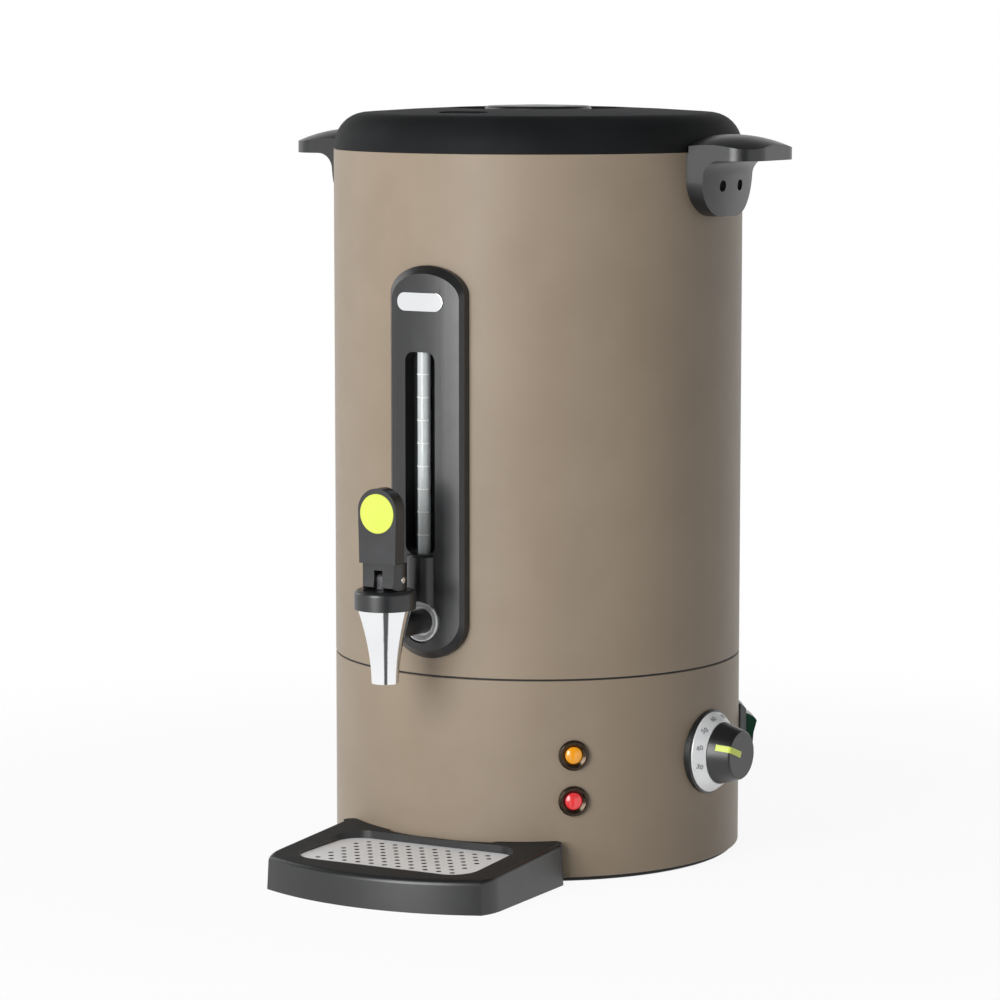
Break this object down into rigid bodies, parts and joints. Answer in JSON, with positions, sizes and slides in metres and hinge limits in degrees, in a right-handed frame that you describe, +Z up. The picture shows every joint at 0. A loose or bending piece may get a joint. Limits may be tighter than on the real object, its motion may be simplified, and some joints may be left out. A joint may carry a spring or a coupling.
{
  "type": "hot water urn",
  "caption": "Round electric hot water urn with a double-walled body, lift-off lid, side handles, sight gauge, lever tap over a drip tray, thermostat dial, pilot lamps and a rocker switch.",
  "frame": {"origin": "on the body's vertical axis, at the underside of the foot ring", "axes": "+Z up, -Y out of the tap towards the user, +X towards the thermostat dial and the right handle"},
  "size_m": [0.366, 0.3939, 0.5045],
  "materials": {
    "taupe_paint": "satin powder coat",
    "black_plastic": "fine moulded grain",
    "black_rubber": "matt",
    "stainless": "brushed",
    "aluminium": "cast",
    "chrome": "polished plating",
    "brass": "drawn tube",
    "pale_plastic": "moulded",
    "red_plastic": "moulded",
    "silver_plastic": "silver paint",
    "lime_plastic": "moulded",
    "dark_reflector": "moulded",
    "amber_lens": "faceted lens",
    "red_lens": "faceted lens",
    "green_plastic": "moulded",
    "clear_glass": "clear",
    "white_print": "printed",
    "silicone": "matt"
  },
  "bodies": {
    "body": {"foot_ring": "black_rubber", "bottom_plate": "stainless", "bottom_screws": "stainless", "base_shell": "taupe_paint", "seam_gasket": "black_rubber", "outer_shell": "taupe_paint", "water_tank": "stainless", "tie_posts": "stainless", "heat_plate": "aluminium", "heating_element": "stainless", "safety_cutout": "pale_plastic", "sensor_bulbs": "brass", "terminal_block": "pale_plastic", "cable_gland": "black_plastic", "gland_nut": "black_plastic", "wiring": "red_plastic", "thermostat": "black_plastic", "dial_bezel": "black_plastic", "dial_ring": "silver_plastic", "lamp_bezels": "dark_reflector", "amber_lens": "amber_lens", "red_lens": "red_lens", "lamp_holders": "pale_plastic", "switch_surround": "black_plastic", "switch_housing": "black_plastic", "handle_left": "black_plastic", "handle_right": "black_plastic", "handle_screws": "stainless", "handle_backplates": "stainless", "front_panel": "black_plastic", "panel_badge": "chrome", "gauge_marks": "white_print", "gauge_tube": "clear_glass", "gauge_elbow": "black_plastic", "gauge_cap": "black_plastic", "gauge_seals": "silicone", "tap_shank": "black_plastic", "tap_rosette": "chrome", "shank_spacer": "silicone", "shank_nut": "stainless", "tap_spout": "chrome", "tap_collar": "black_plastic"},
    "stem": {"valve_stem": "stainless", "seat_cup": "silicone", "valve_spring": "stainless", "lever_pin": "chrome"},
    "lever": {"tap_lever": "black_plastic", "lever_disc": "lime_plastic"},
    "knob": {"thermostat_shaft": "stainless", "dial_knob": "black_plastic", "knob_pointer": "lime_plastic"},
    "rocker": {"switch_rocker": "green_plastic"},
    "reset": {"reset_button": "red_plastic"},
    "tray": {"drip_tray": "black_plastic"},
    "grid": {"drip_grid": "stainless"},
    "lid": {"lid_shell": "black_plastic", "lid_knob": "black_plastic", "lid_screw": "stainless", "lid_gasket": "silicone"}
  },
  "joints": [
    {"name": "stem_lift", "type": "slide", "parent": "body", "child": "stem", "axis": [0, 0, 1], "range_m": [0, 0.00252], "deforming": ["valve_spring"]},
    {"name": "lever_tilt", "type": "hinge", "parent": "stem", "child": "lever", "pos_m": [0, -0.187, 0.2038], "axis": [1, 0, 0], "range_deg": [0, 40], "stiffness_Nm_per_rad": 0.05, "springref_deg": -17.19},
    {"name": "thermostat_turn", "type": "hinge", "parent": "body", "child": "knob", "pos_m": [0.14991, -0.00524, 0.076], "axis": [0.9994, -0.0349, 0], "range_deg": [-204, 66]},
    {"name": "mains_rocker", "type": "hinge", "parent": "body", "child": "rocker", "pos_m": [0.11359, 0.08253, 0.076], "axis": [-0.5878, 0.809, 0], "range_deg": [-20, 0]},
    {"name": "reset_press", "type": "slide", "parent": "body", "child": "reset", "axis": [0, 0, 1], "range_m": [0, 0.0015], "stiffness_N_per_m": 400, "springref_m": -0.001},
    {"name": "tray_pull", "type": "slide", "parent": "body", "child": "tray", "axis": [0.061, -0.9981, 0], "range_m": [0, 0.12]},
    {"name": "grid_lift", "type": "slide", "parent": "tray", "child": "grid", "axis": [0, 0, 1], "range_m": [0, 0.06]},
    {"name": "lid_lift", "type": "slide", "parent": "body", "child": "lid", "axis": [0, 0, 1], "range_m": [0, 0.08]}
  ],
  "couplings": [
    {"joint": "stem_lift", "follows": "lever_tilt", "m_per_rad": 0.003581}
  ]
}
